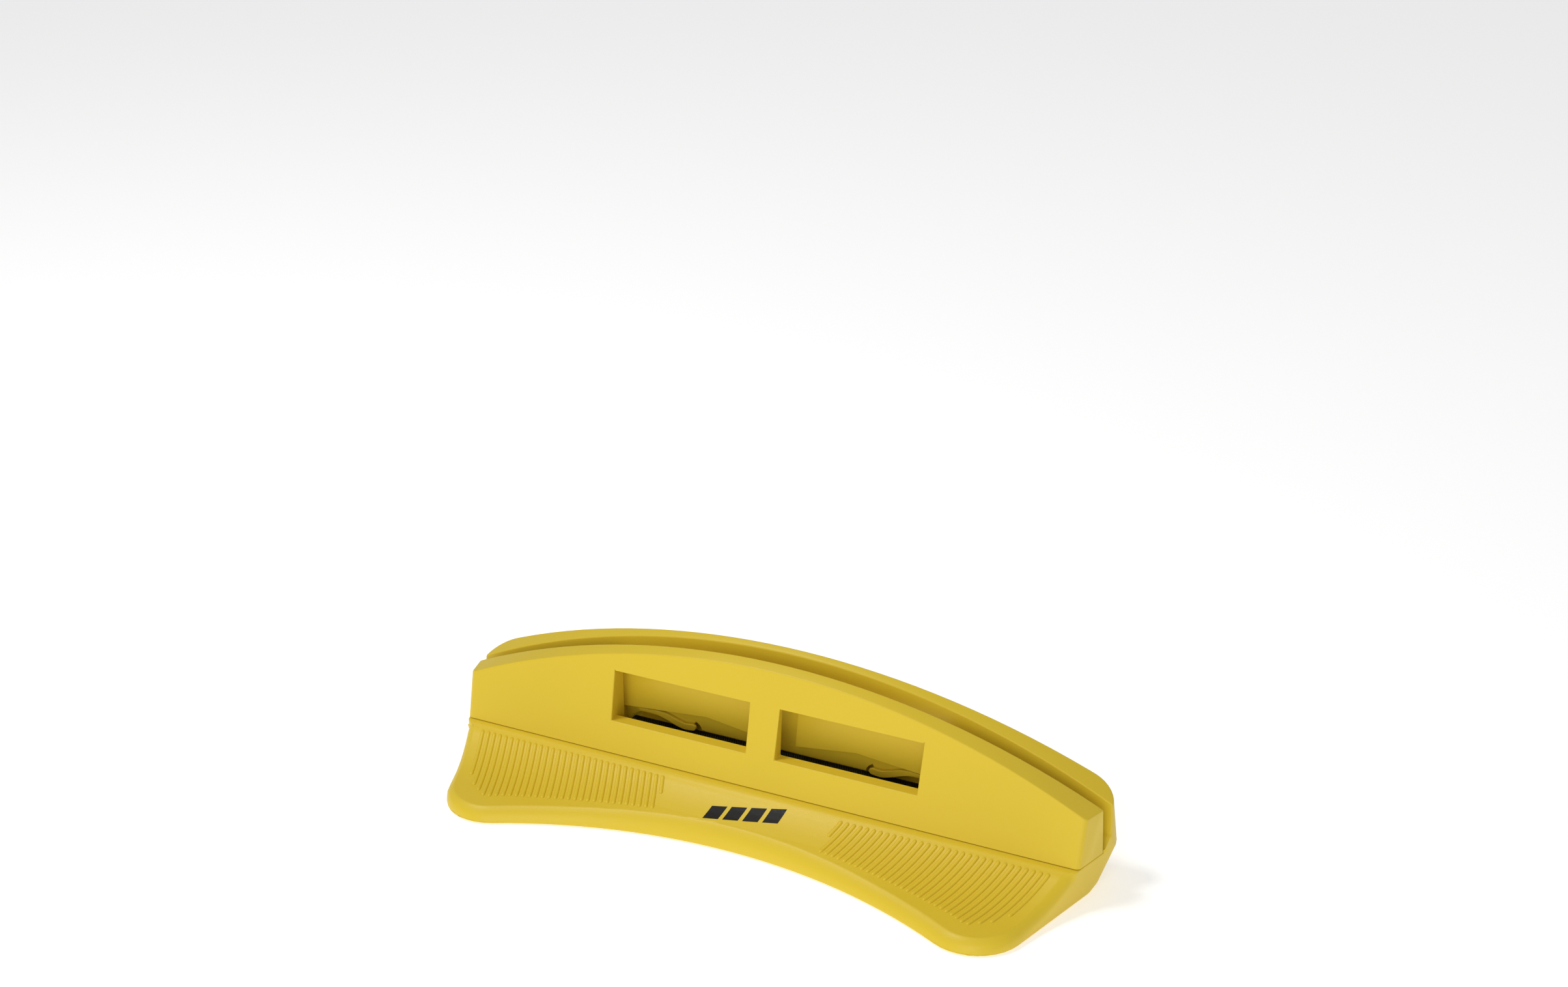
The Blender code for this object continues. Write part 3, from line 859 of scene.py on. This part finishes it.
class SHARPENER_OT_mark(bpy.types.Operator):
    """Prints a plain mark of slanting bars in the middle of the ramp"""

    bl_idname = "sharpener.mark"
    bl_label = "Printed mark"

    bars: IntProperty(name="Bars", description="Number of bars in the mark", default=4, min=1)

    def execute(self, context):
        surface = surface_of(bpy.data.objects["moulded_base"])
        centre = SEAM_POINT + MARK_CENTRE
        turn = Matrix.Rotation(MARK_TURN, 3, "Z")
        width = (MARK_LENGTH - MARK_GAP * (self.bars - 1)) / self.bars
        bm = bmesh.new()
        for number in range(self.bars):
            left = -MARK_LENGTH / 2 + number * (width + MARK_GAP)
            made = bmesh.ops.create_grid(bm, x_segments=8, y_segments=8, size=0.5)
            for vertex in made["verts"]:
                u, v = vertex.co.x + 0.5, vertex.co.y + 0.5
                flat = Vector(
                    (left + u * width + (v - 0.5) * MARK_LEAN, (v - 0.5) * MARK_DEPTH, 0.0)
                )
                place = centre + turn @ flat
                place.z = CLEAR_HEIGHT
                hit = surface.ray_cast(place, Vector((0, 0, -1)))
                if hit[0] is None:
                    raise RuntimeError("the mark lies off the ramp")
                vertex.co = hit[0] - INK_SUNK * hit[1]
        mesh = bpy.data.meshes.new("printed_mark")
        bm.to_mesh(mesh)
        bm.free()
        piece = new_piece("printed_mark", mesh, printed_ink())
        layer = piece.modifiers.new("ink", "SOLIDIFY")
        layer.thickness = INK_THICKNESS
        layer.offset = 1.0
        finished = evaluated_mesh(piece, "printed_mark")
        piece.modifiers.clear()
        piece.data = finished
        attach(piece, "base")
        return {"FINISHED"}


class SHARPENER_OT_stage(bpy.types.Operator):
    """Sets the floor, the soft studio light and the camera"""

    bl_idname = "sharpener.stage"
    bl_label = "Stage"

    def soft_light(self, name, place, size, power):
        light = bpy.data.lights.new(name, "AREA")
        light.shape = "DISK"
        light.size = size
        light.energy = power
        lamp = bpy.data.objects.new(name, light)
        bpy.context.scene.collection.objects.link(lamp)
        lamp.location = place
        aim = LIGHT_TARGET - lamp.location
        lamp.rotation_euler = aim.to_track_quat("-Z", "Y").to_euler()

    def execute(self, context):
        scene = context.scene
        bpy.ops.mesh.primitive_plane_add(size=FLOOR_SIZE, location=(0.0, 0.0, -FLOOR_DROP))
        floor = context.object
        floor.name = "studio_floor"
        material, _tree, shader, _place = new_material("Pale studio floor")
        shader.inputs["Base Color"].default_value = FLOOR_COLOUR
        shader.inputs["Roughness"].default_value = FLOOR_ROUGHNESS
        shader.inputs["Emission Color"].default_value = WHITE
        shader.inputs["Emission Strength"].default_value = FLOOR_GLOW
        floor.data.materials.append(material)

        world = bpy.data.worlds.new("Soft white room")
        scene.world = world
        world.use_nodes = True
        background = world.node_tree.nodes["Background"]
        background.inputs["Color"].default_value = WHITE
        background.inputs["Strength"].default_value = ROOM_STRENGTH
        for name, place, size, power in SOFT_LIGHTS:
            self.soft_light(name, place, size, power)

        lens = bpy.data.cameras.new("camera")
        lens.lens = CAMERA_LENS
        lens.sensor_width = CAMERA_SENSOR
        lens.clip_start = CAMERA_NEAR
        camera = bpy.data.objects.new("camera", lens)
        scene.collection.objects.link(camera)
        camera.location = SEAM_POINT + CAMERA_PLACE
        aim = CAMERA_TARGET - CAMERA_PLACE
        camera.rotation_euler = aim.to_track_quat("-Z", "Y").to_euler()
        scene.camera = camera
        scene.view_settings.view_transform = "Standard"
        return {"FINISHED"}


class SHARPENER_PT_panel(bpy.types.Panel):
    """Lists the pieces of the sharpener"""

    bl_idname = "SHARPENER_PT_panel"
    bl_label = "Ski scraper sharpener"
    bl_space_type = "VIEW_3D"
    bl_region_type = "UI"
    bl_category = "Sharpener"

    def draw(self, context):
        layout = self.layout
        for group in (
            context.scene.sharpener_plastic,
            context.scene.sharpener_ribs,
            context.scene.sharpener_file,
        ):
            box = layout.box()
            for name in group.__annotations__:
                box.prop(group, name)
        for operator in OPERATORS:
            layout.operator(operator.bl_idname)


GROUPS = (
    ("sharpener_plastic", SharpenerPlastic),
    ("sharpener_ribs", SharpenerRibs),
    ("sharpener_file", SharpenerFile),
)
OPERATORS = (
    SHARPENER_OT_base,
    SHARPENER_OT_cover,
    SHARPENER_OT_ribs,
    SHARPENER_OT_file,
    SHARPENER_OT_fingers,
    SHARPENER_OT_screws,
    SHARPENER_OT_feet,
    SHARPENER_OT_mark,
    SHARPENER_OT_stage,
)


def register():
    for name, group in GROUPS:
        bpy.utils.register_class(group)
        setattr(bpy.types.Scene, name, PointerProperty(type=group))
    for made in (*OPERATORS, SHARPENER_PT_panel):
        bpy.utils.register_class(made)


def unregister():
    for made in (SHARPENER_PT_panel, *reversed(OPERATORS)):
        bpy.utils.unregister_class(made)
    for name, group in reversed(GROUPS):
        delattr(bpy.types.Scene, name)
        bpy.utils.unregister_class(group)


def main():
    register()
    bpy.ops.sharpener.base()
    bpy.ops.sharpener.cover()
    bpy.ops.sharpener.ribs()
    bpy.ops.sharpener.file()
    bpy.ops.sharpener.fingers()
    bpy.ops.sharpener.screws()
    bpy.ops.sharpener.feet()
    bpy.ops.sharpener.mark()
    bpy.ops.sharpener.stage()


if __name__ == "__main__":
    main()
